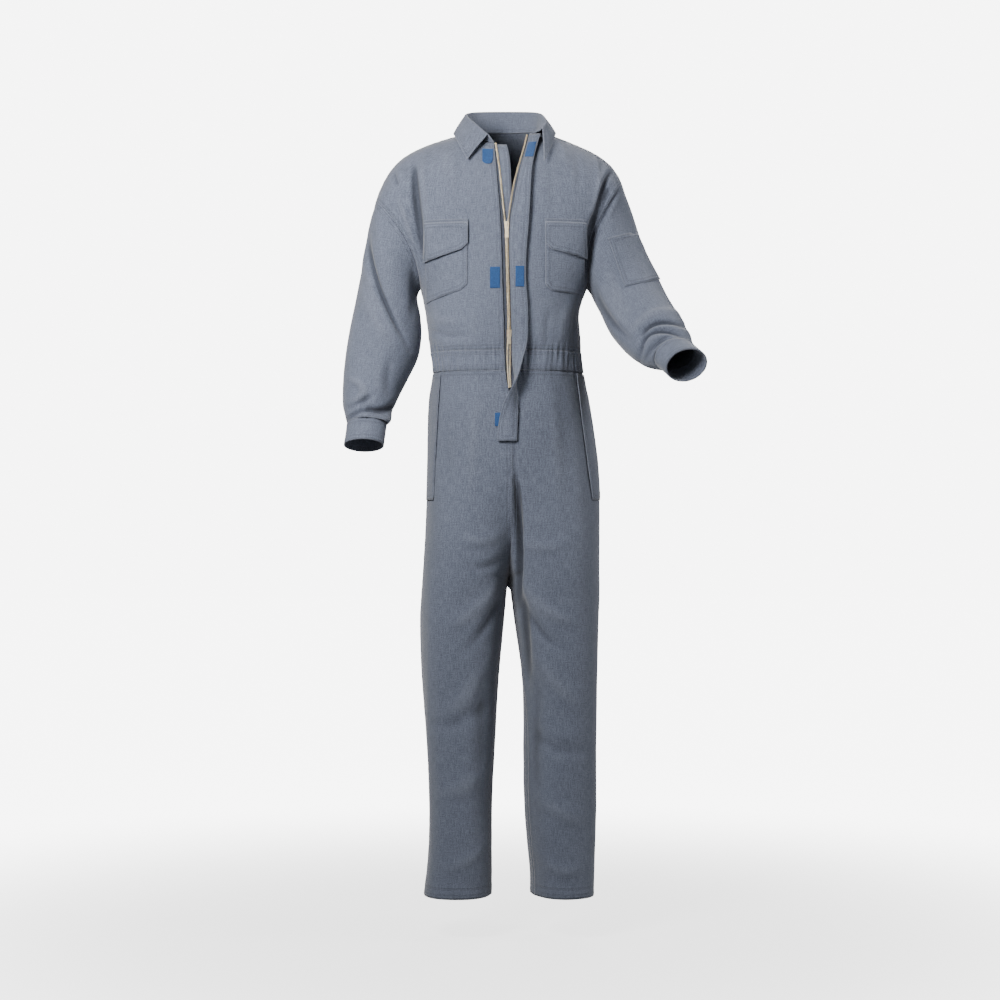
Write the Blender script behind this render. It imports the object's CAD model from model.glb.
from collections import namedtuple
from math import pi, radians

import bmesh
import bpy
import numpy as np
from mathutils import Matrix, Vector, noise
from mathutils.kdtree import KDTree


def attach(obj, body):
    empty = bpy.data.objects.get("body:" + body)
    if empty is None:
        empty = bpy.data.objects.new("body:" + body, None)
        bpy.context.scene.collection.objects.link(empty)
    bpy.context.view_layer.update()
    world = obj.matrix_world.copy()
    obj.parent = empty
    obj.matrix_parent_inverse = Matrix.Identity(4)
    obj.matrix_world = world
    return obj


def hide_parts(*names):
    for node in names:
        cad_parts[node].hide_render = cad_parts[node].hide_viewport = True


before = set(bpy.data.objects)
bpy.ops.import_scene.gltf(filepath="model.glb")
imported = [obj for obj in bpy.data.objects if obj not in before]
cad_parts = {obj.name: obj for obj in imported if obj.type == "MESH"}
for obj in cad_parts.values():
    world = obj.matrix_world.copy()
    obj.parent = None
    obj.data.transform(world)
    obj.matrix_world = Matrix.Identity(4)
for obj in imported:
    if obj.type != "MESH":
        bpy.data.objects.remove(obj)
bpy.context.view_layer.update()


def placed(name, data):
    """A new object in the scene."""
    thing = bpy.data.objects.new(name, data)
    bpy.context.scene.collection.objects.link(thing)
    return thing


def new_material(name):
    """A material, its node tree and its shader."""
    material = bpy.data.materials.new(name)
    material.use_nodes = True
    return material, material.node_tree, material.node_tree.nodes["Principled BSDF"]


def new_group(name, inputs, outputs):
    """A shader node group with float or colour inputs and outputs."""
    group = bpy.data.node_groups.new(name, "ShaderNodeTree")
    for label, kind, value in inputs:
        socket = group.interface.new_socket(label, in_out="INPUT", socket_type=kind)
        if value is not None:
            socket.default_value = value
    for label, kind in outputs:
        group.interface.new_socket(label, in_out="OUTPUT", socket_type=kind)
    return group, group.nodes.new("NodeGroupInput"), group.nodes.new("NodeGroupOutput")


def node_of(tree, kind, **values):
    """A node with the given settings, or the given numbers on its input sockets."""
    node = tree.nodes.new(kind)
    for key, value in values.items():
        if hasattr(node, key):
            setattr(node, key, value)
        else:
            node.inputs[key.replace("_", " ")].default_value = value
    return node


def reckon(tree, operation, first, second=None, third=None):
    """A Math node; numbers or sockets go in, and its output socket comes back."""
    node = tree.nodes.new("ShaderNodeMath")
    node.operation = operation
    for place, value in enumerate((first, second, third)):
        if value is None:
            continue
        if isinstance(value, (int, float)):
            node.inputs[place].default_value = value
        else:
            tree.links.new(value, node.inputs[place])
    return node.outputs[0]


def ramp_between(tree, value, low, high):
    """0 below low, 1 above high, smooth between."""
    node = tree.nodes.new("ShaderNodeMapRange")
    node.interpolation_type = "SMOOTHSTEP"
    tree.links.new(value, node.inputs["Value"])
    node.inputs["From Min"].default_value = low
    node.inputs["From Max"].default_value = high
    return node.outputs["Result"]


def blend_colours(tree, share, first, second, kind="MIX"):
    """A Mix node for colours; numbers, colours or sockets go in, and its result comes back."""
    node = tree.nodes.new("ShaderNodeMix")
    node.data_type = "RGBA"
    node.blend_type = kind
    for socket, value in ((node.inputs["Factor"], share), (node.inputs["A"], first),
                          (node.inputs["B"], second)):
        if isinstance(value, (int, float, tuple)):
            socket.default_value = value
        else:
            tree.links.new(value, socket)
    return node.outputs["Result"]


def stretched(tree, vector, along_u, along_v):
    """The cloth's u and v, scaled apart so that a pattern on them runs long one way."""
    node = tree.nodes.new("ShaderNodeMapping")
    tree.links.new(vector, node.inputs["Vector"])
    node.inputs["Scale"].default_value = (along_u, along_v, 1.0)
    return node.outputs["Vector"]


def speckle(tree, vector, scale, detail=2.0):
    """Soft random spots from 0 to 1."""
    node = node_of(tree, "ShaderNodeTexNoise", Scale=scale, Detail=detail)
    tree.links.new(vector, node.inputs["Vector"])
    return node.outputs["Fac"]


# ---- Studio
# A white paper floor in a white room, soft lamps round the suit, and a camera at the height of
# the hips.  The suit keeps its worn shape with nobody in it.
FLOOR_Z = -1.590
FLOOR_RADIUS = 16.0
PAPER_GREY = (0.42, 0.42, 0.42, 1)
ROOM_WHITE = 7.0         # brightness of the white room as the camera sees it
ROOM_LIGHT = 0.22        # and as it lights the suit
FADE_NEAR, FADE_FAR = 1.60, 2.60
PAPER_NEAR = 0.34        # share of the room's white that the paper keeps under the suit

floor_mesh = bmesh.new()
bmesh.ops.create_circle(floor_mesh, cap_ends=True, segments=96, radius=FLOOR_RADIUS)
bmesh.ops.translate(floor_mesh, verts=floor_mesh.verts[:], vec=(0, 0, FLOOR_Z))
floor_data = bpy.data.meshes.new("paper_floor")
floor_mesh.to_mesh(floor_data)
floor_mesh.free()
paper_floor = placed("paper_floor", floor_data)
paper, tree, shader = new_material("white_paper")
shader.inputs["Base Color"].default_value = PAPER_GREY
shader.inputs["Roughness"].default_value = 0.9
shader.inputs["Emission Strength"].default_value = ROOM_WHITE
# the paper fades into the white of the room away from the suit
place = node_of(tree, "ShaderNodeTexCoord")
from_suit = node_of(tree, "ShaderNodeVectorMath", operation="LENGTH")
tree.links.new(place.outputs["Object"], from_suit.inputs[0])
glow = node_of(tree, "ShaderNodeMapRange", interpolation_type="SMOOTHSTEP", From_Min=FADE_NEAR,
               From_Max=FADE_FAR, To_Min=PAPER_NEAR)
tree.links.new(from_suit.outputs["Value"], glow.inputs["Value"])
ray = node_of(tree, "ShaderNodeLightPath")
tree.links.new(reckon(tree, "MULTIPLY", glow.outputs["Result"], ray.outputs["Is Camera Ray"]),
               shader.inputs["Emission Color"])
floor_data.materials.append(paper)

room = bpy.data.worlds.new("room")
room.use_nodes = True
tree = room.node_tree
ray = node_of(tree, "ShaderNodeLightPath")
white = node_of(tree, "ShaderNodeMapRange", To_Min=ROOM_LIGHT, To_Max=ROOM_WHITE)
tree.links.new(ray.outputs["Is Camera Ray"], white.inputs["Value"])
tree.nodes["Background"].inputs["Color"].default_value = (1.0, 1.0, 1.0, 1)
tree.links.new(white.outputs["Result"], tree.nodes["Background"].inputs["Strength"])
bpy.context.scene.world = room

LAMP_AIM = Vector((0, 0, -0.5))
Lamp = namedtuple("Lamp", "name x y z wide watts")
for lamp in (Lamp("key", -0.72, -1.20, 0.12, 0.5, 35),
             Lamp("side", 2.1, -0.5, 0.6, 0.8, 30),
             Lamp("top", -0.2, 0.1, 1.9, 0.8, 12),
             Lamp("back", 0.4, 2.2, 0.4, 1.2, 30)):
    light = bpy.data.lights.new(lamp.name, "AREA")
    light.size = lamp.wide
    light.energy = lamp.watts
    holder = placed(lamp.name, light)
    holder.location = (lamp.x, lamp.y, lamp.z)
    holder.visible_camera = False
    holder.rotation_euler = (LAMP_AIM - holder.location).to_track_quat("-Z", "Y").to_euler()

VIEW_CENTRE = Vector((-0.018, 0.0, -0.720))
VIEW_DISTANCE = 4.5
camera = placed("camera", bpy.data.cameras.new("camera"))
camera.data.lens = 81
camera.data.sensor_width = 36
camera.location = VIEW_CENTRE - Vector((0, VIEW_DISTANCE, 0))
camera.rotation_euler = (radians(90), 0, 0)
bpy.context.scene.camera = camera

# ---- Twill
# The body cloth: a blue-grey work twill of pale and dark yarn, uneven in the warp.  Its threads
# run along v of the cloth's own u and v, in metres.  Cut edges and folds are rubbed paler.
YARN_PITCH = 0.0007
RUBBED_YARN = (0.42, 0.44, 0.49, 1)
RIM_RUBBED, RIDGE_RUBBED = 0.35, 0.12   # how far cut edges and raised folds are rubbed paler
DIMPLE_DARK, HOLLOW_DARK = 0.55, 0.70   # how far stitch rows and hollows are darkened
weave, weave_in, weave_out = new_group(
    "twill_weave",
    (("Cloth UV", "NodeSocketVector", None), ("Pale yarn", "NodeSocketColor", None),
     ("Dark yarn", "NodeSocketColor", None), ("Slub", "NodeSocketFloat", 0.5),
     ("Rubbed", "NodeSocketFloat", 0.0)),
    (("Colour", "NodeSocketColor"), ("Height", "NodeSocketFloat"),
     ("Roughness", "NodeSocketFloat")))
cloth_uv = weave_in.outputs["Cloth UV"]
ribs = node_of(weave, "ShaderNodeTexWave", wave_type="BANDS", bands_direction="DIAGONAL",
               Scale=0.31 / YARN_PITCH, Distortion=0.6, Detail=1.0)
weave.links.new(cloth_uv, ribs.inputs["Vector"])
warp_slub = speckle(weave, stretched(weave, cloth_uv, 680, 55), 1.0, 2.0)
weft_slub = speckle(weave, stretched(weave, cloth_uv, 60, 620), 1.0, 1.0)
flecks = speckle(weave, stretched(weave, cloth_uv, 560, 430), 1.0, 2.0)
patches = speckle(weave, cloth_uv, 7.0, 2.0)
yarns = reckon(weave, "ADD", reckon(weave, "MULTIPLY", warp_slub, 0.36),
               reckon(weave, "MULTIPLY", weft_slub, 0.18))
yarns = reckon(weave, "ADD", yarns, reckon(weave, "MULTIPLY", flecks, 0.46))
shade = ramp_between(weave, yarns, 0.36, 0.66)
even = reckon(weave, "MULTIPLY_ADD", reckon(weave, "SUBTRACT", shade, 0.5),
              weave_in.outputs["Slub"], 0.5)
yarn_colour = blend_colours(weave, even, weave_in.outputs["Dark yarn"],
                            weave_in.outputs["Pale yarn"])
faded = reckon(weave, "MULTIPLY_ADD", patches, 0.14, 0.93)
washed = blend_colours(weave, 1.0, yarn_colour, faded, "MULTIPLY")
paler = blend_colours(weave, reckon(weave, "MULTIPLY", weave_in.outputs["Rubbed"], 0.45), washed,
                      RUBBED_YARN)
weave.links.new(paler, weave_out.inputs["Colour"])
weave.links.new(reckon(weave, "MULTIPLY_ADD", ribs.outputs["Fac"], 0.5, yarns),
                weave_out.inputs["Height"])
weave.links.new(reckon(weave, "MULTIPLY_ADD", flecks, 0.12, 0.80), weave_out.inputs["Roughness"])

# rows of lockstitch near a piece's edges: the attribute "edge" holds the distance to the edge
STITCH_LENGTH = 0.0030
STITCH_SHARE = 0.68      # thread on top, as a share of each stitch's length
sewn, sewn_in, sewn_out = new_group(
    "edge_stitches",
    (("Cloth UV", "NodeSocketVector", None), ("Edge distance", "NodeSocketFloat", 1.0),
     ("First row", "NodeSocketFloat", 0.0020), ("Second row", "NodeSocketFloat", 0.0085),
     ("Other row distance", "NodeSocketFloat", 1.0)),
    (("Thread", "NodeSocketFloat"), ("Dimple", "NodeSocketFloat")))
nearest_row = sewn_in.outputs["Other row distance"]
for label in ("First row", "Second row"):
    away = reckon(sewn, "ABSOLUTE", reckon(sewn, "SUBTRACT", sewn_in.outputs["Edge distance"],
                                           sewn_in.outputs[label]))
    nearest_row = reckon(sewn, "MINIMUM", away, nearest_row)
split = sewn.nodes.new("ShaderNodeSeparateXYZ")
sewn.links.new(sewn_in.outputs["Cloth UV"], split.inputs["Vector"])
beat = reckon(sewn, "FRACT", reckon(sewn, "DIVIDE",
                                    reckon(sewn, "ADD", split.outputs["X"], split.outputs["Y"]),
                                    STITCH_LENGTH))
in_stitch = reckon(sewn, "LESS_THAN", beat, STITCH_SHARE)
on_row = reckon(sewn, "SUBTRACT", 1.0, ramp_between(sewn, nearest_row, 0.00030, 0.00070))
sewn.links.new(reckon(sewn, "MULTIPLY", on_row, in_stitch), sewn_out.inputs["Thread"])
sewn.links.new(reckon(sewn, "SUBTRACT", 1.0, ramp_between(sewn, nearest_row, 0.0004, 0.0019)),
               sewn_out.inputs["Dimple"])


def twill(name, pale, dark, slub=0.7, first_row=0.0020, second_row=0.0085, rows_at=()):
    """Work twill with stitched edges and more rows at heights of v, rubbed paler at its edges."""
    material, tree, shader = new_material(name)
    place = tree.nodes.new("ShaderNodeUVMap")
    place.uv_map = "cloth"
    edge = node_of(tree, "ShaderNodeAttribute", attribute_name="edge")
    ridge = node_of(tree, "ShaderNodeAttribute", attribute_name="ridge")
    cloth = tree.nodes.new("ShaderNodeGroup")
    cloth.node_tree = weave
    tree.links.new(place.outputs["UV"], cloth.inputs["Cloth UV"])
    cloth.inputs["Pale yarn"].default_value = (*pale, 1)
    cloth.inputs["Dark yarn"].default_value = (*dark, 1)
    cloth.inputs["Slub"].default_value = slub
    rim = reckon(tree, "SUBTRACT", 1.0, ramp_between(tree, edge.outputs["Fac"], 0.0004, 0.0022))
    raised = ramp_between(tree, ridge.outputs["Fac"], 0.10, 0.60)
    sunk = ramp_between(tree, reckon(tree, "MULTIPLY", ridge.outputs["Fac"], -1.0), 0.15, 1.0)
    rubbed = reckon(tree, "MAXIMUM", reckon(tree, "MULTIPLY", rim, RIM_RUBBED),
                    reckon(tree, "MULTIPLY", raised, RIDGE_RUBBED))
    tree.links.new(rubbed, cloth.inputs["Rubbed"])
    stitches = tree.nodes.new("ShaderNodeGroup")
    stitches.node_tree = sewn
    tree.links.new(place.outputs["UV"], stitches.inputs["Cloth UV"])
    tree.links.new(edge.outputs["Fac"], stitches.inputs["Edge distance"])
    stitches.inputs["First row"].default_value = first_row
    stitches.inputs["Second row"].default_value = second_row
    if rows_at:
        split_uv = tree.nodes.new("ShaderNodeSeparateXYZ")
        tree.links.new(place.outputs["UV"], split_uv.inputs["Vector"])
        others = None
        for row in rows_at:
            away = reckon(tree, "ABSOLUTE", reckon(tree, "SUBTRACT", split_uv.outputs["Y"], row))
            others = away if others is None else reckon(tree, "MINIMUM", others, away)
        tree.links.new(others, stitches.inputs["Other row distance"])
    dimple = stitches.outputs["Dimple"]
    shaded = reckon(tree, "MAXIMUM", reckon(tree, "MULTIPLY", dimple, DIMPLE_DARK),
                    reckon(tree, "MULTIPLY", sunk, HOLLOW_DARK))
    grimy = blend_colours(tree, shaded, cloth.outputs["Colour"],
                          tuple(c * 0.30 for c in dark) + (1,))
    colour = blend_colours(tree, reckon(tree, "MULTIPLY", stitches.outputs["Thread"], 0.7),
                           grimy, tuple(c * 1.15 for c in pale) + (1,))
    tree.links.new(colour, shader.inputs["Base Color"])
    tree.links.new(cloth.outputs["Roughness"], shader.inputs["Roughness"])
    shader.inputs["Specular IOR Level"].default_value = 0.25
    shader.inputs["Sheen Weight"].default_value = 0.25
    shader.inputs["Sheen Roughness"].default_value = 0.5
    bump = node_of(tree, "ShaderNodeBump", Strength=0.35, Distance=0.0004)
    height = reckon(tree, "ADD", cloth.outputs["Height"],
                    reckon(tree, "MULTIPLY", stitches.outputs["Thread"], 1.5))
    height = reckon(tree, "SUBTRACT", height, reckon(tree, "MULTIPLY", dimple, 2.0))
    tree.links.new(height, bump.inputs["Height"])
    tree.links.new(bump.outputs["Normal"], shader.inputs["Normal"])
    return material


PALE_YARN = (0.178, 0.200, 0.262)
DARK_YARN = (0.066, 0.078, 0.110)
body_twill = twill("grey_work_twill", PALE_YARN, DARK_YARN)

# ---- Fronts and back
# The right and left front and the one-piece back, sewn together at the side and shoulder seams
# with a double row of stitches.  The cloth hangs from the shoulders and blouses over the waist.
FRONT_Y, BACK_Y = -1, 1
Fold = namedtuple("Fold", "x1 z1 x2 z2 x3 z3 wide deep lip face", defaults=(FRONT_Y,))
Spine = namedtuple("Spine", "x y z")


FOLD_POINTS = 25
FOLD_REACH = 3           # how far to the sides a fold is worked out, in its own widths
FOLD_STEP = 0.6          # how far each way a point of a fold's line stands for, in steps
FOLD_END = 0.03          # a fold dies out this share of its length past each end
FOLD_FULL = 0.7          # below 1 a fold keeps its height nearer to its ends
LIP_AWAY, LIP_WIDE = 1.9, 1.3           # the swell beside a crease, in the crease's widths
TURNED_AWAY = 0.25       # how far past side-on a face may look and still take the fold


def fold_line(fold):
    """Points along a fold through its start, middle and end, seen from the front."""
    share = np.linspace(0.0, 1.0, FOLD_POINTS)[:, None]
    start, middle, end = (np.array(pair) for pair in
                          ((fold.x1, fold.z1), (fold.x2, fold.z2), (fold.x3, fold.z3)))
    pull = 2 * middle - (start + end) / 2
    return (1 - share) ** 2 * start + 2 * share * (1 - share) * pull + share ** 2 * end


def fold_heights(places, ways, folds):
    """How far each place rises or sinks under the folds that cross it.

    deep is a fold's height, below 0 for a crease; lip is the height of the swell beside it, on
    the right-hand side of its run as seen from the front, or with a minus on the left.
    """
    rise = np.zeros(len(places))
    for fold in folds:
        line = fold_line(fold)
        reach = FOLD_REACH * fold.wide
        low, high = line.min(0) - reach, line.max(0) + reach
        near = np.nonzero((places[:, 0] > low[0]) & (places[:, 0] < high[0])
                          & (places[:, 2] > low[1]) & (places[:, 2] < high[1])
                          & (ways[:, 1] * fold.face > -TURNED_AWAY))[0]
        if len(near) == 0:
            continue
        spots = places[near][:, [0, 2]]
        gaps = spots[:, None, :] - line[None, :, :]
        closest = (gaps ** 2).sum(2).argmin(1)
        pick = gaps[np.arange(len(near)), closest]
        step = np.gradient(line, axis=0)[closest]
        pace = np.linalg.norm(step, axis=1)
        tangent = step / pace[:, None]
        side = pick[:, 0] * tangent[:, 1] - pick[:, 1] * tangent[:, 0]
        along = (pick * tangent).sum(1)
        gap = np.hypot(side, np.maximum(np.abs(along) - FOLD_STEP * pace, 0))
        share = np.clip((closest + along / pace) / (len(line) - 1), 0, 1)
        swell = np.sin(pi * (share * (1 - 2 * FOLD_END) + FOLD_END)) ** FOLD_FULL
        facing = np.clip((ways[near, 1] * fold.face + TURNED_AWAY) / (2 * TURNED_AWAY), 0, 1)
        aside = side * (1 if fold.lip >= 0 else -1) / fold.wide
        valley = np.exp(-(gap / fold.wide) ** 2)
        swelling = np.exp(-((aside - LIP_AWAY) / LIP_WIDE) ** 2)
        rise[near] += swell * facing * (fold.deep * valley + abs(fold.lip) * swelling)
    return rise


def headings(places, spine):
    """Directions out of the garment: one way for all, or away from the line inside it."""
    if isinstance(spine, Vector):
        return np.tile(np.array(spine), (len(places), 1))
    line = np.array(spine)
    nearest = np.full(len(places), np.inf)
    ways = np.zeros_like(places)
    for start, end in zip(line, line[1:]):
        run = end - start
        share = np.clip(((places - start) @ run) / (run @ run), 0, 1)[:, None]
        away = places - (start + share * run)
        length = np.linalg.norm(away, axis=1)
        closer = length < nearest
        ways[closer] = away[closer] / np.maximum(length[closer], 1e-9)[:, None]
        nearest[closer] = length[closer]
    return ways


OUTER, RIM, LINING = 0, 1, 2
RIM_SHARE, RIM_LEAN = 0.12, 0.6         # a rim is a small patch that faces neither in nor out
CUT_ANGLE = radians(55)                 # sharper edges than this are cut edges
SAME_POINT = 2e-5
JOIN_FLAT, JOIN_SQUARE = radians(38), radians(70)


def sort_faces(mesh, crease, spine):
    """Mark the faces of a wall, patch by patch between its sharp edges."""
    centres = np.array([face.calc_center_median() for face in mesh.faces])
    normals = np.array([face.normal for face in mesh.faces])
    areas = np.array([face.calc_area() for face in mesh.faces])
    facing = (headings(centres, spine) * normals).sum(1)
    waiting = set(mesh.faces)
    while waiting:
        patch = [waiting.pop()]
        for face in patch:
            for edge in face.edges:
                if edge[crease] < 0.5:
                    for other in edge.link_faces:
                        if other in waiting:
                            waiting.discard(other)
                            patch.append(other)
        places = [face.index for face in patch]
        area = areas[places].sum()
        lean = (areas[places] * facing[places]).sum() / max(area, 1e-12)
        kind = OUTER if lean > 0 else LINING
        if area < RIM_SHARE * areas.sum() and abs(lean) < RIM_LEAN:
            kind = RIM
        for face in patch:
            face.material_index = kind


def cloth_mesh(node, rounds, spine, lined):
    """A CAD cloth wall with its faces joined to quads and rounded between its cut edges.

    Unless it is lined, only the outer face and the rim are kept, as one thin skin.
    """
    mesh = bmesh.new()
    mesh.from_mesh(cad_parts[node].data)
    bmesh.ops.remove_doubles(mesh, verts=mesh.verts[:], dist=SAME_POINT)
    bmesh.ops.join_triangles(mesh, faces=mesh.faces[:], angle_face_threshold=JOIN_FLAT,
                             angle_shape_threshold=JOIN_SQUARE)
    crease = mesh.edges.layers.float.get("crease_edge")
    if crease is None:
        crease = mesh.edges.layers.float.new("crease_edge")
    for edge in mesh.edges:
        if len(edge.link_faces) != 2 or edge.calc_face_angle(0.0) > CUT_ANGLE:
            edge[crease] = 1.0
    mesh.faces.index_update()
    mesh.faces.ensure_lookup_table()
    sort_faces(mesh, crease, spine)
    if not lined:
        hidden = [face for face in mesh.faces if face.material_index == LINING]
        bmesh.ops.delete(mesh, geom=hidden, context="FACES")
    coarse = bpy.data.meshes.new(node + "_coarse")
    for _ in range(3):
        coarse.materials.append(None)
    mesh.to_mesh(coarse)
    mesh.free()
    holder = placed(node + "_coarse", coarse)
    smooth = holder.modifiers.new("rounding", "SUBSURF")
    smooth.levels = smooth.render_levels = max(rounds - (0), 1)
    data = bpy.data.meshes.new_from_object(holder.evaluated_get(
        bpy.context.evaluated_depsgraph_get()))
    bpy.data.objects.remove(holder, do_unlink=True)
    return data


def values_of(items, name, wide=1, kind=float):
    """One attribute of all the given parts of a mesh, as an array."""
    values = np.empty(len(items) * wide, dtype=kind)
    items.foreach_get(name, values)
    return values.reshape(-1, wide) if wide > 1 else values


def points_along(places, lines):
    """Close points along the given edges of a mesh."""
    return np.concatenate([places[lines[:, 0]] * (1 - share) + places[lines[:, 1]] * share
                           for share in (0.0, 0.25, 0.5, 0.75)])


def search_tree(points):
    """A tree that finds the nearest of the points, each known by its place in the list."""
    tree = KDTree(len(points))
    for number, point in enumerate(points):
        tree.insert(point, number)
    tree.balance()
    return tree


def outward_ways(data):
    """Points, each one's way out of the garment and distance to the edge, and the edge itself.

    The edge of the outer face comes as the numbers of its points and as its lines.
    """
    places = values_of(data.vertices, "co", 3)
    normals = values_of(data.polygons, "normal", 3)
    kinds = values_of(data.polygons, "material_index", kind=int)
    loop_vertex = values_of(data.loops, "vertex_index", kind=int)
    owner = np.repeat(np.arange(len(kinds)), values_of(data.polygons, "loop_total", kind=int))
    sums = np.zeros_like(places)
    chosen = kinds[owner] == OUTER
    np.add.at(sums, loop_vertex[chosen], normals[owner[chosen]])
    lengths = np.linalg.norm(sums, axis=1)
    known = np.nonzero(lengths > 1e-6)[0]
    ways = np.zeros_like(places)
    ways[known] = sums[known] / lengths[known][:, None]
    tree = search_tree(places[known])
    for place in np.nonzero(lengths <= 1e-6)[0]:
        ways[place] = ways[known[tree.find(places[place])[1]]]
    loop_edge = values_of(data.loops, "edge_index", kind=int)
    outer_sides = np.bincount(loop_edge[chosen], minlength=len(data.edges))
    lines = values_of(data.edges, "vertices", 2, int)[outer_sides == 1]
    edge_tree = search_tree(points_along(places, lines))
    edge = np.array([edge_tree.find(place)[2] for place in places])
    edge[loop_vertex[kinds[owner] == RIM]] = 0.0
    border = np.unique(lines)
    edge[border] = 0.0
    return places, ways, edge, border, lines


def cloth_noise(places, size, seed):
    """Smooth unevenness between -1 and 1, with lumps of about the given size."""
    shift = Vector((seed * 7.3, seed * 3.1, seed * 5.7))
    return np.array([noise.noise(Vector(place) / size + shift) for place in places])


SWELL, SWELL_SIZE = 0.0022, 0.16        # broad unevenness of worn cloth: its height and size
CRUMPLE, CRUMPLE_SIZE = 0.0005, 0.040   # smaller unevenness between the folds
PUCKER, PUCKER_SIZE = 0.0006, 0.010     # ripples where a seam has drawn the cloth up
PUCKER_FADE = 0.014
EVEN_EDGE = 0.025        # cloth nearer than this to its edge is more even
SEAM_RISE = 0.0005       # seam allowances, two more layers under the cloth
SEAM_WIDE, SEAM_SLOPE = 0.0090, 0.003
FULL_RIDGE = 0.006       # the height of a fold that is worn palest
SHARP_ANGLE = radians(50)
UP = Vector((0, 0, 1))
BAND_TOP, BAND_BOTTOM = -0.4265, -0.4660
GATHER = 0.00272         # upright ripples drawn up by the elastic
GATHER_WIDE, GATHER_LONG = 0.0075, 0.060
GATHER_FADE = 0.014      # how far the ripples run on above and below the band
WAIST_RADIUS = 0.150
PLACKET_HALF = 0.022     # flat cloth beside the zip
ARMPIT = -0.330
ARMHOLE_EASE = 0.012


def gathers(places):
    """Ripples of the waistband, dying out in the cloth above and below it."""
    beyond = np.maximum(np.maximum(places[:, 2] - BAND_TOP, BAND_BOTTOM - places[:, 2]), 0)
    strength = np.exp(-(beyond / GATHER_FADE) ** 2)
    flat = np.where(places[:, 1] < 0, 1 - np.exp(-(places[:, 0] / PLACKET_HALF) ** 2), 1.0)
    ripple = np.zeros(len(places))
    near = np.nonzero(strength > 0.02)[0]
    around = np.arctan2(places[near, 0] - NECK_X, -places[near, 1]) * WAIST_RADIUS
    ripple[near] = [noise.noise(Vector((u / GATHER_WIDE, z / GATHER_LONG, 4.0)))
                    for u, z in zip(around, places[near, 2])]
    return GATHER * strength * flat * ripple


COLLAR_TUCK = 0.0030     # how far the neck edge goes up inside the collar
TUCK_WIDE = 0.006
NECK_X, NECK_REACH, NECK_FRONT, NECK_LOW = -0.009, 0.082, -0.070, -0.060
NECK_FADE_SIDE, NECK_FADE = 0.012, 0.015
EASE = 0.008             # how far from an edge its cloth follows it


def neck_tuck(places, edge):
    """The neck edge of the body, drawn up into the collar's stand."""
    beside = np.clip((NECK_REACH - np.abs(places[:, 0] - NECK_X)) / NECK_FADE_SIDE, 0, 1)
    behind = np.clip((places[:, 1] - NECK_FRONT) / NECK_FADE, 0, 1)
    high = np.clip((places[:, 2] - NECK_LOW) / NECK_FADE, 0, 1)
    return COLLAR_TUCK * beside * behind * high * np.exp(-(edge / TUCK_WIDE) ** 2)


sewn_edges = []          # points along the edges of the pieces that are already sewn in


def drawn_together(moved, edge, border, reach):
    """A piece's points, with its edge laid on the edges it is sewn to and the cloth eased."""
    seam = search_tree(sewn_edges)
    rim = search_tree(moved[border])
    pulls = np.zeros((len(border), 3))
    for number, place in enumerate(moved[border]):
        target, _, far = seam.find(place)
        if far < reach:
            pulls[number] = np.array(target) - place
    eased = moved.copy()
    for place in np.nonzero(edge < 3 * EASE)[0]:
        eased[place] += pulls[rim.find(moved[place])[1]] * np.exp(-(edge[place] / EASE) ** 2)
    return eased


def sewn_shell(node, rounds, spine, folds, material,
               grain=UP, lively=1.0, lined=False, gathered=False, seam=0.0):
    """The finished cloth of one node: rounded, folded, puckered at its seams, and declared.

    lively is the share of the usual unevenness; lined keeps the inner face; gathered ripples it
    at the waist; seam is how far its edge is drawn to the edges of the pieces it is sewn to.
    """
    data = cloth_mesh(node, rounds, spine, lined)
    places, ways, edge, border, lines = outward_ways(data)
    # an armhole seam moves straight forward or back, so that its two sides stay together
    near_armhole = np.exp(-(edge / ARMHOLE_EASE) ** 2) * (places[:, 2] > ARMPIT) * (lively > 0)
    straight = np.zeros_like(ways)
    straight[:, 1] = np.where(places[:, 1] < 0, -1, 1)
    fold_ways = ways + near_armhole[:, None] * (straight - ways)
    fold_ways /= np.maximum(np.linalg.norm(fold_ways, axis=1), 1e-9)[:, None]
    rise = fold_heights(places, fold_ways, folds)
    free = np.clip(edge / EVEN_EDGE, 0.0, 1.0)
    lift = SWELL * lively * free * cloth_noise(places, SWELL_SIZE, 1)
    lift += CRUMPLE * lively * free * cloth_noise(places, CRUMPLE_SIZE, 2)
    lift += PUCKER * lively * np.exp(-edge / PUCKER_FADE) * cloth_noise(places, PUCKER_SIZE, 3)
    lift += (SEAM_RISE * lively * (1 - np.clip((edge - SEAM_WIDE) / SEAM_SLOPE, 0, 1))
             * np.clip(edge / 0.001, 0, 1))
    if gathered:
        lift += gathers(places)
    moved = places + ways * lift[:, None] + fold_ways * rise[:, None]
    if seam:
        moved[:, 2] += neck_tuck(places, edge)
        if sewn_edges:
            moved = drawn_together(moved, edge, border, seam)
        sewn_edges.extend(points_along(moved, lines))
    data.vertices.foreach_set("co", moved.ravel())
    mark = data.attributes.new("edge", "FLOAT", "POINT")
    mark.data.foreach_set("value", edge)
    ridge = data.attributes.new("ridge", "FLOAT", "POINT")
    ridge.data.foreach_set("value", np.clip(rise / FULL_RIDGE, -1, 1))
    lay_grain(data, places, spine, grain)
    data.polygons.foreach_set("material_index", [0] * len(data.polygons))
    data.polygons.foreach_set("use_smooth", [True] * len(data.polygons))
    data.materials.clear()
    data.materials.append(material)
    data.set_sharp_from_angle(angle=SHARP_ANGLE)
    piece = placed(node + "_cloth", data)
    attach(piece, "suit")
    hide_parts(node)
    return piece


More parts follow.
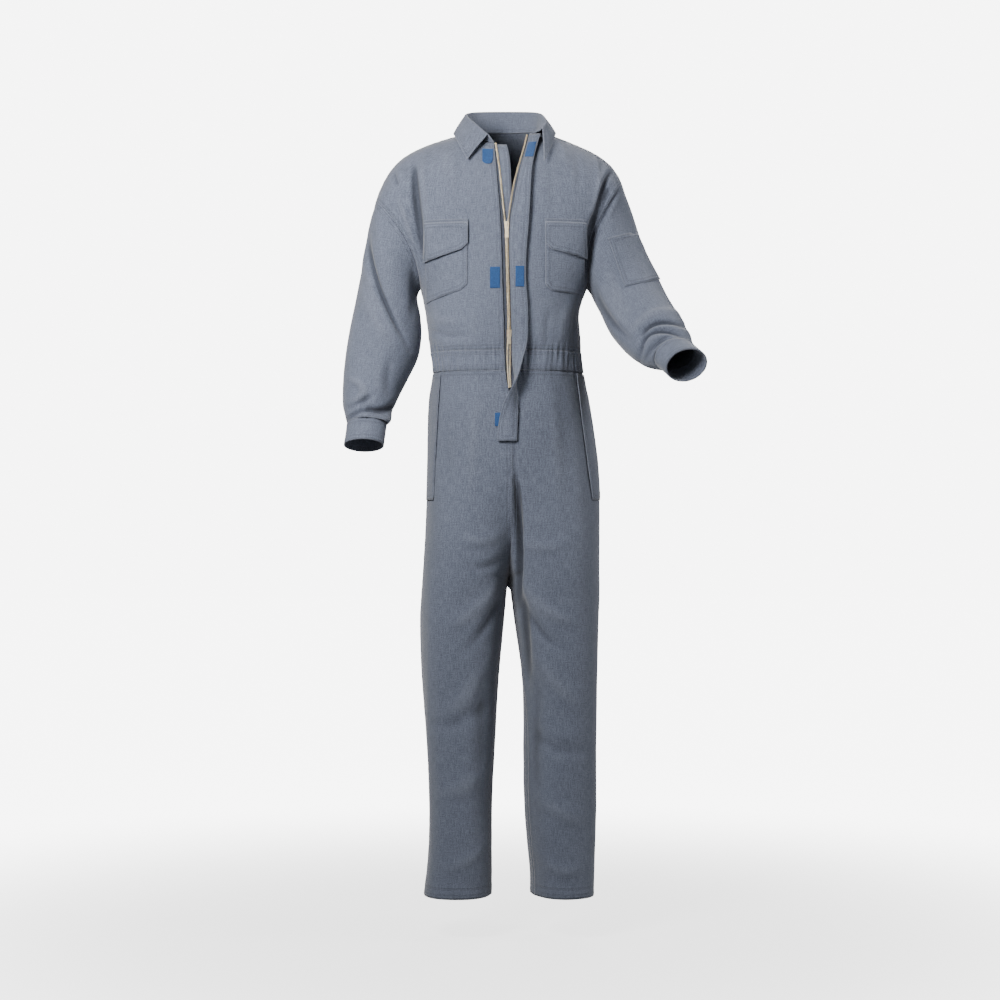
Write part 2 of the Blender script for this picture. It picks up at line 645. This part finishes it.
def lay_grain(data, places, spine, grain):
    """The cloth's own u and v in metres: v along the grain, u round the piece."""
    grain = np.array(grain, dtype=float)
    grain /= np.linalg.norm(grain)
    across = np.cross((0.0, 1.0, 0.0), grain)
    across /= np.linalg.norm(across)
    deep = np.cross(grain, across)
    if isinstance(spine, Vector):
        u = places @ across
    else:
        centre = np.array(spine).mean(0)
        shifted = places - centre
        turn = np.arctan2(shifted @ deep, shifted @ across)
        radius = np.hypot(shifted @ deep, shifted @ across).mean()
        u = turn * radius
    v = places @ grain
    loop_vertex = values_of(data.loops, "vertex_index", kind=int)
    for old in list(data.uv_layers):
        data.uv_layers.remove(old)
    layer = data.uv_layers.new(name="cloth")
    loop_u = u[loop_vertex]
    if not isinstance(spine, Vector):
        sides = values_of(data.polygons, "loop_total", kind=int)
        first = np.repeat(np.cumsum(sides) - sides, sides)
        start_u = loop_u[first]
        loop_u = np.where(loop_u - start_u > pi * radius, loop_u - 2 * pi * radius, loop_u)
        loop_u = np.where(start_u - loop_u > pi * radius, loop_u + 2 * pi * radius, loop_u)
    layer.data.foreach_set("uv", np.stack([loop_u, v[loop_vertex]], 1).ravel())


TRUNK_SPINE = (Spine(-0.009, 0.005, -0.55), Spine(-0.009, 0.005, -0.05),
               Spine(-0.009, 0.005, -0.02))
# folds along the armhole seams, shared by the body and the sleeve: the hollow between sleeve and
# chest and the seam's ridge on the right, the deep crease and the hollow below it on the left
RIGHT_ARMHOLE_FOLDS = (
    Fold(-0.188, -0.056, -0.181, -0.140, -0.168, -0.262, 0.0080, -0.0110, -0.0030),
    Fold(-0.217, -0.118, -0.203, -0.168, -0.178, -0.236, 0.0060, 0.0035, 0.0),
)
LEFT_ARMHOLE_FOLDS = (
    Fold(0.206, -0.064, 0.181, -0.118, 0.158, -0.215, 0.0050, -0.0080, 0.0030),
    Fold(0.168, -0.160, 0.158, -0.210, 0.154, -0.290, 0.0090, -0.0090, 0.0),
)
BODICE_FOLDS = RIGHT_ARMHOLE_FOLDS + LEFT_ARMHOLE_FOLDS + (
    # creases at the right shoulder
    Fold(-0.229, -0.070, -0.224, -0.088, -0.216, -0.108, 0.0050, -0.0040, 0.0016),
    Fold(-0.205, -0.050, -0.204, -0.072, -0.200, -0.100, 0.0060, -0.0024, 0.0012),
    # left armhole: the ridge from the shoulder, and a short crease on the sleeve's side
    Fold(0.172, -0.040, 0.1745, -0.095, 0.167, -0.160, 0.0050, 0.0030, 0.0),
    Fold(0.198, -0.105, 0.191, -0.120, 0.182, -0.142, 0.0050, -0.0040, 0.0),
    Fold(0.093, -0.004, 0.106, -0.030, 0.112, -0.070, 0.0060, 0.0020, 0.0),
    # soft drapes from the shoulders over the chest
    Fold(-0.120, -0.020, -0.128, -0.060, -0.130, -0.110, 0.0090, 0.0020, -0.0008),
    Fold(-0.090, -0.030, -0.094, -0.080, -0.096, -0.140, 0.0100, -0.0018, 0.0010),
    Fold(-0.150, -0.020, -0.156, -0.060, -0.158, -0.110, 0.0070, -0.0018, 0.0012),
    Fold(0.130, -0.020, 0.136, -0.070, 0.138, -0.130, 0.0080, -0.0016, 0.0012),
    Fold(0.082, -0.060, 0.086, -0.120, 0.086, -0.170, 0.0090, -0.0014, 0.0010),
    # above the waistband
    Fold(-0.158, -0.352, -0.130, -0.368, -0.092, -0.372, 0.0090, 0.0026, -0.0010),
    Fold(-0.156, -0.382, -0.120, -0.398, -0.075, -0.398, 0.0070, -0.0026, 0.0014),
    Fold(-0.142, -0.310, -0.146, -0.360, -0.134, -0.415, 0.0090, 0.0020, 0.0),
    Fold(-0.066, -0.350, -0.070, -0.385, -0.070, -0.424, 0.0080, 0.0020, -0.0010),
    Fold(0.118, -0.330, 0.104, -0.375, 0.100, -0.424, 0.0080, 0.0026, 0.0),
    Fold(0.138, -0.320, 0.130, -0.365, 0.128, -0.424, 0.0070, -0.0028, 0.0014),
    Fold(0.080, -0.350, 0.074, -0.385, 0.074, -0.424, 0.0070, -0.0020, 0.0014),
    # the back: drapes from the shoulder blades to the armholes, fullness above the band
    Fold(-0.120, -0.060, -0.150, -0.140, -0.165, -0.250, 0.0110, 0.0044, 0.0, BACK_Y),
    Fold(-0.150, -0.070, -0.176, -0.140, -0.182, -0.240, 0.0080, -0.0060, 0.0020, BACK_Y),
    Fold(0.110, -0.060, 0.138, -0.140, 0.150, -0.250, 0.0110, 0.0044, 0.0, BACK_Y),
    Fold(0.135, -0.070, 0.160, -0.140, 0.166, -0.230, 0.0080, -0.0060, -0.0020, BACK_Y),
    Fold(-0.096, -0.290, -0.104, -0.360, -0.105, -0.424, 0.0100, 0.0040, -0.0014, BACK_Y),
    Fold(-0.060, -0.320, -0.060, -0.370, -0.066, -0.424, 0.0080, -0.0034, 0.0014, BACK_Y),
    Fold(-0.022, -0.280, -0.026, -0.350, -0.022, -0.424, 0.0100, 0.0034, 0.0, BACK_Y),
    Fold(0.030, -0.310, 0.034, -0.365, 0.030, -0.424, 0.0090, 0.0032, 0.0, BACK_Y),
    Fold(0.075, -0.300, 0.082, -0.360, 0.086, -0.424, 0.0090, 0.0040, 0.0, BACK_Y),
    Fold(0.108, -0.330, 0.115, -0.375, 0.116, -0.424, 0.0070, -0.0036, 0.0014, BACK_Y),
    Fold(-0.130, -0.366, -0.010, -0.388, 0.110, -0.370, 0.0110, 0.0030, 0.0012, BACK_Y),
)
for node, rounds, flat, area in (("front_right", 4, (0.31, 0.50), 0.107),
                                 ("front_left", 4, (0.28, 0.50), 0.093),
                                 ("back", 3, (0.60, 0.54), 0.227)):
    sewn_shell(node, rounds, TRUNK_SPINE, BODICE_FOLDS, body_twill,
               gathered=True, seam=0.004)

# ---- Waistband
# A casing of two layers over elastic, drawn up into small upright gathers and stitched along
# both edges.
BAND_SPINE = (Spine(-0.005, 0.0, -0.60), Spine(-0.005, 0.0, -0.30), Spine(-0.005, 0.0, -0.2))
band_twill = twill("waistband_twill", PALE_YARN, DARK_YARN,
                   rows_at=(BAND_TOP - 0.0030, BAND_TOP - 0.0075, BAND_BOTTOM + 0.0045,
                            BAND_BOTTOM + 0.0090))
sewn_shell("waistband", 3, BAND_SPINE, (), band_twill,
           lively=0.4, lined=True, gathered=True)

# ---- Sleeves
# One-piece sleeves set into dropped armholes.  Deep creases run in from the armpits, and the
# cloth piles up in rolls above the cuffs.
RIGHT_ARM = (Spine(-0.200, 0.0, -0.18), Spine(-0.250, -0.01, -0.36), Spine(-0.285, -0.055, -0.59))
LEFT_ARM = (Spine(0.180, 0.0, -0.15), Spine(0.230, -0.035, -0.31), Spine(0.300, -0.150, -0.42))
RIGHT_GRAIN, LEFT_GRAIN = (-0.19, -0.12, -0.97), (0.36, -0.42, -0.82)
RIGHT_SLEEVE_FOLDS = RIGHT_ARMHOLE_FOLDS + (
    # the long crease from the outer side down to the elbow's inside, and the swell below it
    Fold(-0.2780, -0.198, -0.2625, -0.288, -0.200, -0.416, 0.0060, -0.0085, 0.0026),
    Fold(-0.290, -0.260, -0.270, -0.350, -0.222, -0.430, 0.0120, 0.0030, 0.0),
    Fold(-0.262, -0.160, -0.259, -0.190, -0.256, -0.225, 0.0050, 0.0018, 0.0),
    # under the armhole seam, beside the chest
    Fold(-0.220, -0.178, -0.203, -0.196, -0.186, -0.210, 0.0045, -0.0065, 0.0020),
    Fold(-0.190, -0.250, -0.186, -0.300, -0.192, -0.360, 0.0080, -0.0040, 0.0016),
    # rolls above the cuff
    Fold(-0.318, -0.480, -0.286, -0.506, -0.312, -0.548, 0.0075, 0.0055, 0.0),
    Fold(-0.268, -0.516, -0.292, -0.530, -0.318, -0.543, 0.0055, -0.0055, 0.0020),
    Fold(-0.282, -0.538, -0.250, -0.546, -0.218, -0.526, 0.0075, -0.0085, 0.0030),
    Fold(-0.290, -0.558, -0.252, -0.566, -0.228, -0.552, 0.0070, 0.0040, 0.0),
    Fold(-0.324, -0.568, -0.290, -0.548, -0.270, -0.552, 0.0050, -0.0045, 0.0018),
    Fold(-0.296, -0.330, -0.312, -0.390, -0.318, -0.455, 0.0110, 0.0030, 0.0),
    Fold(-0.230, -0.440, -0.240, -0.480, -0.236, -0.520, 0.0090, -0.0034, 0.0020),
    # hidden side
    Fold(-0.200, -0.300, -0.250, -0.360, -0.300, -0.390, 0.0100, -0.0070, 0.0024, BACK_Y),
    Fold(-0.210, -0.340, -0.255, -0.400, -0.310, -0.430, 0.0110, 0.0040, 0.0, BACK_Y),
    Fold(-0.230, -0.440, -0.270, -0.470, -0.325, -0.480, 0.0090, -0.0060, 0.0024, BACK_Y),
    Fold(-0.235, -0.520, -0.280, -0.535, -0.328, -0.525, 0.0080, 0.0050, 0.0, BACK_Y),
    Fold(-0.232, -0.545, -0.280, -0.558, -0.325, -0.550, 0.0060, -0.0065, 0.0020, BACK_Y),
    Fold(-0.185, -0.200, -0.215, -0.260, -0.250, -0.300, 0.0100, 0.0040, 0.0, BACK_Y),
)
LEFT_SLEEVE_FOLDS = LEFT_ARMHOLE_FOLDS + (
    Fold(0.221, -0.096, 0.200, -0.135, 0.166, -0.200, 0.0045, -0.0060, -0.0020),
    # three curved creases above the cuff, with rolls between them
    Fold(0.252, -0.408, 0.288, -0.377, 0.350, -0.388, 0.0055, -0.0090, 0.0034),
    Fold(0.254, -0.448, 0.276, -0.398, 0.348, -0.412, 0.0050, -0.0080, 0.0030),
    Fold(0.264, -0.452, 0.290, -0.416, 0.330, -0.408, 0.0045, -0.0050, 0.0020),
    Fold(0.240, -0.392, 0.284, -0.356, 0.344, -0.362, 0.0080, 0.0040, 0.0),
    # the soft trough along the underside, and the smooth swell above it
    Fold(0.166, -0.290, 0.190, -0.355, 0.238, -0.415, 0.0080, -0.0050, -0.0030),
    Fold(0.196, -0.250, 0.212, -0.320, 0.244, -0.372, 0.0140, 0.0030, 0.0),
    Fold(0.236, -0.135, 0.262, -0.215, 0.298, -0.290, 0.0140, 0.0020, 0.0),
    # hidden side
    Fold(0.190, -0.180, 0.230, -0.230, 0.275, -0.260, 0.0100, -0.0065, 0.0024, BACK_Y),
    Fold(0.190, -0.260, 0.240, -0.300, 0.300, -0.310, 0.0120, 0.0044, 0.0, BACK_Y),
    Fold(0.210, -0.330, 0.260, -0.350, 0.320, -0.345, 0.0080, -0.0070, 0.0024, BACK_Y),
    Fold(0.240, -0.380, 0.290, -0.385, 0.345, -0.370, 0.0080, 0.0050, 0.0, BACK_Y),
)
sewn_shell("sleeve_right", 4, RIGHT_ARM, RIGHT_SLEEVE_FOLDS, body_twill,
           grain=RIGHT_GRAIN, seam=0.015)
sewn_shell("sleeve_left", 4, LEFT_ARM, LEFT_SLEEVE_FOLDS, body_twill,
           grain=LEFT_GRAIN, seam=0.015)

# ---- Cuffs
# Straight bands of two layers, turned and stitched round both edges.
sewn_shell("cuff_right", 3, (Spine(-0.275, -0.035, -0.52), Spine(-0.290, -0.085, -0.66),
                             Spine(-0.291, -0.087, -0.67)), (), body_twill,
           grain=RIGHT_GRAIN, lively=0.6, lined=True)
sewn_shell("cuff_left", 3, (Spine(0.280, -0.120, -0.40), Spine(0.370, -0.230, -0.50),
                            Spine(0.371, -0.231, -0.501)), (), body_twill,
           grain=LEFT_GRAIN, lively=0.6, lined=True)

# ---- Legs
# A front and a back to each leg, joined by the outer seam, the inner seam and the crotch seam,
# and sewn to the waistband.  Wide straight legs with a turned hem.
RIGHT_LEG = (Spine(-0.085, 0.010, -0.40), Spine(-0.090, 0.020, -1.0), Spine(-0.095, 0.010, -1.56))
LEFT_LEG = (Spine(0.080, 0.010, -0.40), Spine(0.090, 0.020, -1.0), Spine(0.103, 0.010, -1.56))
LEG_FOLDS = (
    # right leg: the side crease, drapes from the crotch and the hip, the knee and the hem
    Fold(-0.155, -0.880, -0.157, -1.200, -0.151, -1.495, 0.0070, 0.0034, -0.0020),
    Fold(-0.020, -0.872, -0.060, -0.930, -0.116, -0.965, 0.0120, 0.0040, 0.0),
    Fold(-0.012, -0.900, -0.046, -0.965, -0.086, -1.015, 0.0090, -0.0044, 0.0016),
    Fold(-0.020, -0.975, -0.060, -1.070, -0.120, -1.140, 0.0150, 0.0034, 0.0),
    Fold(-0.036, -1.110, -0.090, -1.150, -0.150, -1.165, 0.0120, -0.0030, 0.0012),
    Fold(-0.040, -1.240, -0.090, -1.285, -0.145, -1.295, 0.0130, 0.0032, 0.0),
    Fold(-0.042, -1.390, -0.085, -1.430, -0.135, -1.440, 0.0110, 0.0032, 0.0),
    Fold(-0.060, -0.500, -0.070, -0.600, -0.075, -0.740, 0.0130, 0.0024, 0.0),
    Fold(-0.112, -0.480, -0.122, -0.600, -0.120, -0.760, 0.0110, -0.0020, 0.0010),
    Fold(-0.012, -0.780, -0.050, -0.800, -0.100, -0.796, 0.0110, 0.0026, 0.0),
    Fold(-0.010, -0.830, -0.040, -0.850, -0.080, -0.852, 0.0090, -0.0026, 0.0012),
    Fold(-0.050, -1.020, -0.056, -1.200, -0.052, -1.400, 0.0140, -0.0030, 0.0014),
    # left leg
    Fold(0.026, -0.880, 0.070, -0.935, 0.124, -0.955, 0.0120, 0.0040, 0.0),
    Fold(0.024, -0.912, 0.060, -0.975, 0.105, -1.010, 0.0090, -0.0040, -0.0016),
    Fold(0.040, -1.005, 0.090, -1.080, 0.145, -1.125, 0.0150, 0.0032, 0.0),
    Fold(0.050, -1.175, 0.095, -1.205, 0.152, -1.212, 0.0120, -0.0030, -0.0012),
    Fold(0.050, -1.292, 0.100, -1.335, 0.152, -1.348, 0.0130, 0.0032, 0.0),
    Fold(0.056, -1.415, 0.100, -1.448, 0.145, -1.440, 0.0110, 0.0030, 0.0),
    Fold(0.080, -0.490, 0.090, -0.600, 0.096, -0.760, 0.0130, 0.0024, 0.0),
    Fold(0.138, -0.500, 0.150, -0.620, 0.160, -0.780, 0.0100, -0.0022, 0.0012),
    Fold(0.012, -0.790, 0.055, -0.812, 0.104, -0.806, 0.0110, 0.0026, 0.0),
    Fold(0.055, -1.020, 0.052, -1.200, 0.056, -1.400, 0.0120, -0.0034, 0.0016),
    # the centre seam, and the deep fold beside it down to the crotch and the inner leg
    Fold(0.010, -0.560, 0.011, -0.650, 0.013, -0.740, 0.0035, -0.0026, 0.0),
    Fold(0.0155, -0.680, 0.0190, -0.800, 0.0155, -0.925, 0.0060, -0.0160, 0.0),
    Fold(0.022, -0.900, 0.032, -0.990, 0.036, -1.090, 0.0080, -0.0080, 0.0),
    # backs: the seat, drapes below it, behind the knees, and above the hems
    Fold(-0.120, -0.800, -0.070, -0.860, -0.020, -0.880, 0.0130, 0.0050, 0.0, BACK_Y),
    Fold(-0.130, -0.850, -0.080, -0.905, -0.030, -0.925, 0.0090, -0.0056, 0.0020, BACK_Y),
    Fold(0.120, -0.800, 0.070, -0.860, 0.020, -0.880, 0.0130, 0.0050, 0.0, BACK_Y),
    Fold(0.130, -0.850, 0.080, -0.905, 0.034, -0.925, 0.0090, -0.0056, 0.0020, BACK_Y),
    Fold(-0.150, -1.080, -0.095, -1.110, -0.045, -1.090, 0.0120, 0.0044, 0.0, BACK_Y),
    Fold(-0.148, -1.120, -0.095, -1.150, -0.048, -1.135, 0.0090, -0.0056, 0.0020, BACK_Y),
    Fold(-0.140, -1.180, -0.095, -1.200, -0.050, -1.180, 0.0120, 0.0040, 0.0, BACK_Y),
    Fold(0.150, -1.090, 0.100, -1.120, 0.055, -1.100, 0.0120, 0.0044, 0.0, BACK_Y),
    Fold(0.150, -1.130, 0.100, -1.160, 0.058, -1.145, 0.0090, -0.0056, 0.0020, BACK_Y),
    Fold(0.145, -1.190, 0.100, -1.210, 0.060, -1.190, 0.0120, 0.0040, 0.0, BACK_Y),
    Fold(-0.130, -1.400, -0.095, -1.430, -0.055, -1.420, 0.0110, 0.0038, 0.0, BACK_Y),
    Fold(0.140, -1.400, 0.105, -1.435, 0.065, -1.420, 0.0110, 0.0038, 0.0, BACK_Y),
    Fold(-0.080, -0.520, -0.085, -0.600, -0.080, -0.700, 0.0130, 0.0034, 0.0, BACK_Y),
    Fold(0.080, -0.520, 0.085, -0.600, 0.080, -0.700, 0.0130, 0.0034, 0.0, BACK_Y),
)
HEM_ROW = -1.486
hemmed_twill = twill("hemmed_work_twill", tuple(c * 0.90 for c in PALE_YARN),
                     tuple(c * 0.90 for c in DARK_YARN), rows_at=(HEM_ROW, HEM_ROW + 0.0016))
for side, spine in (("right", RIGHT_LEG), ("left", LEFT_LEG)):
    for face in ("front", "back"):
        sewn_shell(f"leg_{face}_{side}", 3, spine, LEG_FOLDS, hemmed_twill,
                   gathered=True, seam=0.006)

# ---- Collar
# One piece of two layers, sewn to the neck and folded over to lie on the shoulders, its points
# stitched round close to the edge.
collar_twill = twill("collar_twill", PALE_YARN, DARK_YARN, first_row=0.0055, second_row=0.0062)
COLLAR_SPINE = (Spine(-0.009, 0.0, -0.20), Spine(-0.009, 0.0, 0.04), Spine(-0.009, 0.0, 0.10))
sewn_shell("collar", 3, COLLAR_SPINE, (), collar_twill,
           lively=0.0, lined=True)

# ---- Chest pockets and flaps
# Patch pockets sewn flat on the fronts, each under a flap that is sewn down along its top and
# stands a little off the pocket at its lower edge.
FRONTWARD = Vector((0.0, -1.0, 0.0))
for side, wide in (("right", 0.098), ("left", 0.120)):
    sewn_shell("chest_pocket_" + side, 2, TRUNK_SPINE, BODICE_FOLDS, body_twill)
for side in ("right", "left"):
    sewn_shell("chest_flap_" + side, 2, TRUNK_SPINE, BODICE_FOLDS, body_twill)

# ---- Sleeve pocket
# A patch pocket on the outside of the wearer's left upper sleeve.
sewn_shell("sleeve_pocket", 2, LEFT_ARM, LEFT_SLEEVE_FOLDS, body_twill,
           grain=LEFT_GRAIN)

# ---- Side pocket mouths
# A stitched facing strip along each outer seam below the waistband.
for side, spine in (("right", RIGHT_LEG), ("left", LEFT_LEG)):
    sewn_shell("pocket_mouth_" + side, 2, spine, LEG_FOLDS, hemmed_twill)

# ---- Storm flap
# A double strip sewn beside the left row of teeth.  It is folded open over the left front down
# to the waist, and lies closed over the zip's lower end.
sewn_shell("storm_flap", 3, FRONTWARD, (), body_twill,
           lively=0.4, lined=True)

# ---- Zip guard
# A strip behind the teeth, sewn to the right tape, that keeps them off the wearer.
sewn_shell("zip_guard", 2, FRONTWARD, (), body_twill,
           lively=0.3, lined=True)

# ---- Touch tape
# Blue hook and loop patches, sewn flat: two on the right front, one at the zip's lower end, and
# two on the flap's inner face.
tape_blue, tree, shader = new_material("blue_hook_and_loop")
pile = speckle(tree, node_of(tree, "ShaderNodeTexCoord").outputs["Object"], 900.0, 3.0)
blue = blend_colours(tree, ramp_between(tree, pile, 0.35, 0.70), (0.004, 0.032, 0.120, 1),
                     (0.012, 0.085, 0.250, 1))
tree.links.new(blue, shader.inputs["Base Color"])
shader.inputs["Roughness"].default_value = 0.85
shader.inputs["Sheen Weight"].default_value = 0.4
fuzz = node_of(tree, "ShaderNodeBump", Strength=0.8, Distance=0.0006)
tree.links.new(pile, fuzz.inputs["Height"])
tree.links.new(fuzz.outputs["Normal"], shader.inputs["Normal"])
for node, spine, folds in (("touch_tape_top", TRUNK_SPINE, BODICE_FOLDS),
                           ("touch_tape_middle", TRUNK_SPINE, BODICE_FOLDS),
                           ("touch_tape_low", RIGHT_LEG, LEG_FOLDS),
                           ("flap_tape_top", FRONTWARD, ()),
                           ("flap_tape_middle", FRONTWARD, ())):
    sewn_shell(node, 3, spine, folds, tape_blue, lively=0.3, lined=True)

# ---- Zip
# Two woven tapes, each with a row of pale brass teeth clamped on its inner edge, and two
# sliders with pull tabs.  The teeth mesh between the sliders.
tape_cloth = twill("zip_tape_weave", (0.075, 0.085, 0.115), (0.030, 0.034, 0.050), slub=0.6,
                   first_row=0.010, second_row=0.0104)
for side in ("right", "left"):
    sewn_shell("zip_tape_" + side, 1, FRONTWARD, (), tape_cloth,
               lively=0.0, lined=True)

brass, tree, shader = new_material("pale_brass")
shader.inputs["Metallic"].default_value = 0.85
tarnish = speckle(tree, node_of(tree, "ShaderNodeTexCoord").outputs["Object"], 260.0, 4.0)
tree.links.new(blend_colours(tree, ramp_between(tree, tarnish, 0.35, 0.75),
                             (0.96, 0.84, 0.62, 1), (0.80, 0.65, 0.43, 1)),
               shader.inputs["Base Color"])
tree.links.new(reckon(tree, "MULTIPLY_ADD", tarnish, 0.25, 0.28), shader.inputs["Roughness"])

TOOTH_PITCH = 0.0021
TOOTH_LONG = 0.0034
TOOTH_TALL = 0.0014
TOOTH_THICK = 0.0026
TOOTH_MESH = 0.0004      # how far a tooth reaches past the middle of its CAD strip
TOOTH_OUTLINE = ((-1, -0.9), (1, -0.55), (1, 0.55), (-1, 0.9))     # wide at the tape, halves
TOOTH_ROUND = 0.00022
CAD_ROW = 0.0032         # corners nearer than this in height are one level of the CAD strip


def row_centres(node):
    """Centre points of a strip of teeth, one for each level of its CAD rows, from below."""
    corners = sorted((vertex.co.copy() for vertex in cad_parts[node].data.vertices),
                     key=lambda point: point.z)
    levels = []
    for point in corners:
        if levels and point.z - levels[-1][0].z < CAD_ROW:
            levels[-1].append(point)
        else:
            levels.append([point])
    line = [sum(level, Vector()) / len(level) for level in levels]
    for _ in range(3):
        line[1:-1] = [(before + point * 2 + after) / 4
                      for before, point, after in zip(line, line[1:], line[2:])]
    return line


for side, way in (("right", 1), ("left", -1)):
    line = row_centres("zip_teeth_" + side)
    mesh = bmesh.new()
    walked = 0.0
    for start, end in zip(line, line[1:]):
        run = end - start
        along_row = run.normalized()
        across_row = Vector((0, -1, 0)).cross(along_row).normalized()
        out_row = along_row.cross(across_row).normalized()
        while walked < run.length:
            centre = start + along_row * walked
            centre += along_row * (TOOTH_PITCH / 2 if way < 0 else 0.0)
            reach = -way * across_row * TOOTH_MESH
            ring = []
            for x, z in TOOTH_OUTLINE:
                for y in (-1, 1):
                    ring.append(centre + reach + across_row * (-way * x * TOOTH_LONG / 2)
                                + along_row * (z * TOOTH_TALL / 2)
                                + out_row * (y * TOOTH_THICK / 2))
            made = [mesh.verts.new(point) for point in ring]
            bmesh.ops.convex_hull(mesh, input=made)
            walked += TOOTH_PITCH
        walked -= run.length
    bmesh.ops.recalc_face_normals(mesh, faces=mesh.faces[:])
    bmesh.ops.bevel(mesh, geom=mesh.edges[:], offset=TOOTH_ROUND, segments=1, affect="EDGES")
    data = bpy.data.meshes.new("teeth_" + side)
    mesh.to_mesh(data)
    mesh.free()
    data.polygons.foreach_set("use_smooth", [True] * len(data.polygons))
    data.materials.append(brass)
    teeth = placed("teeth_" + side, data)
    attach(teeth, "suit")
    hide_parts("zip_teeth_" + side)

# ---- Sliders and pull tabs
# Cast brass sliders, one at the top of the closed teeth and one turned over below it, each with
# a flat tab that hangs from its bridge.
CAST_ROUND = 0.00025
for node in ("slider_top", "slider_bottom", "pull_top", "pull_bottom"):
    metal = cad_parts[node]
    metal.data.materials.clear()
    metal.data.materials.append(brass)
    rounded = metal.modifiers.new("rounded_edges", "BEVEL")
    rounded.width = CAST_ROUND
    rounded.segments = 2
    rounded.limit_method = "ANGLE"
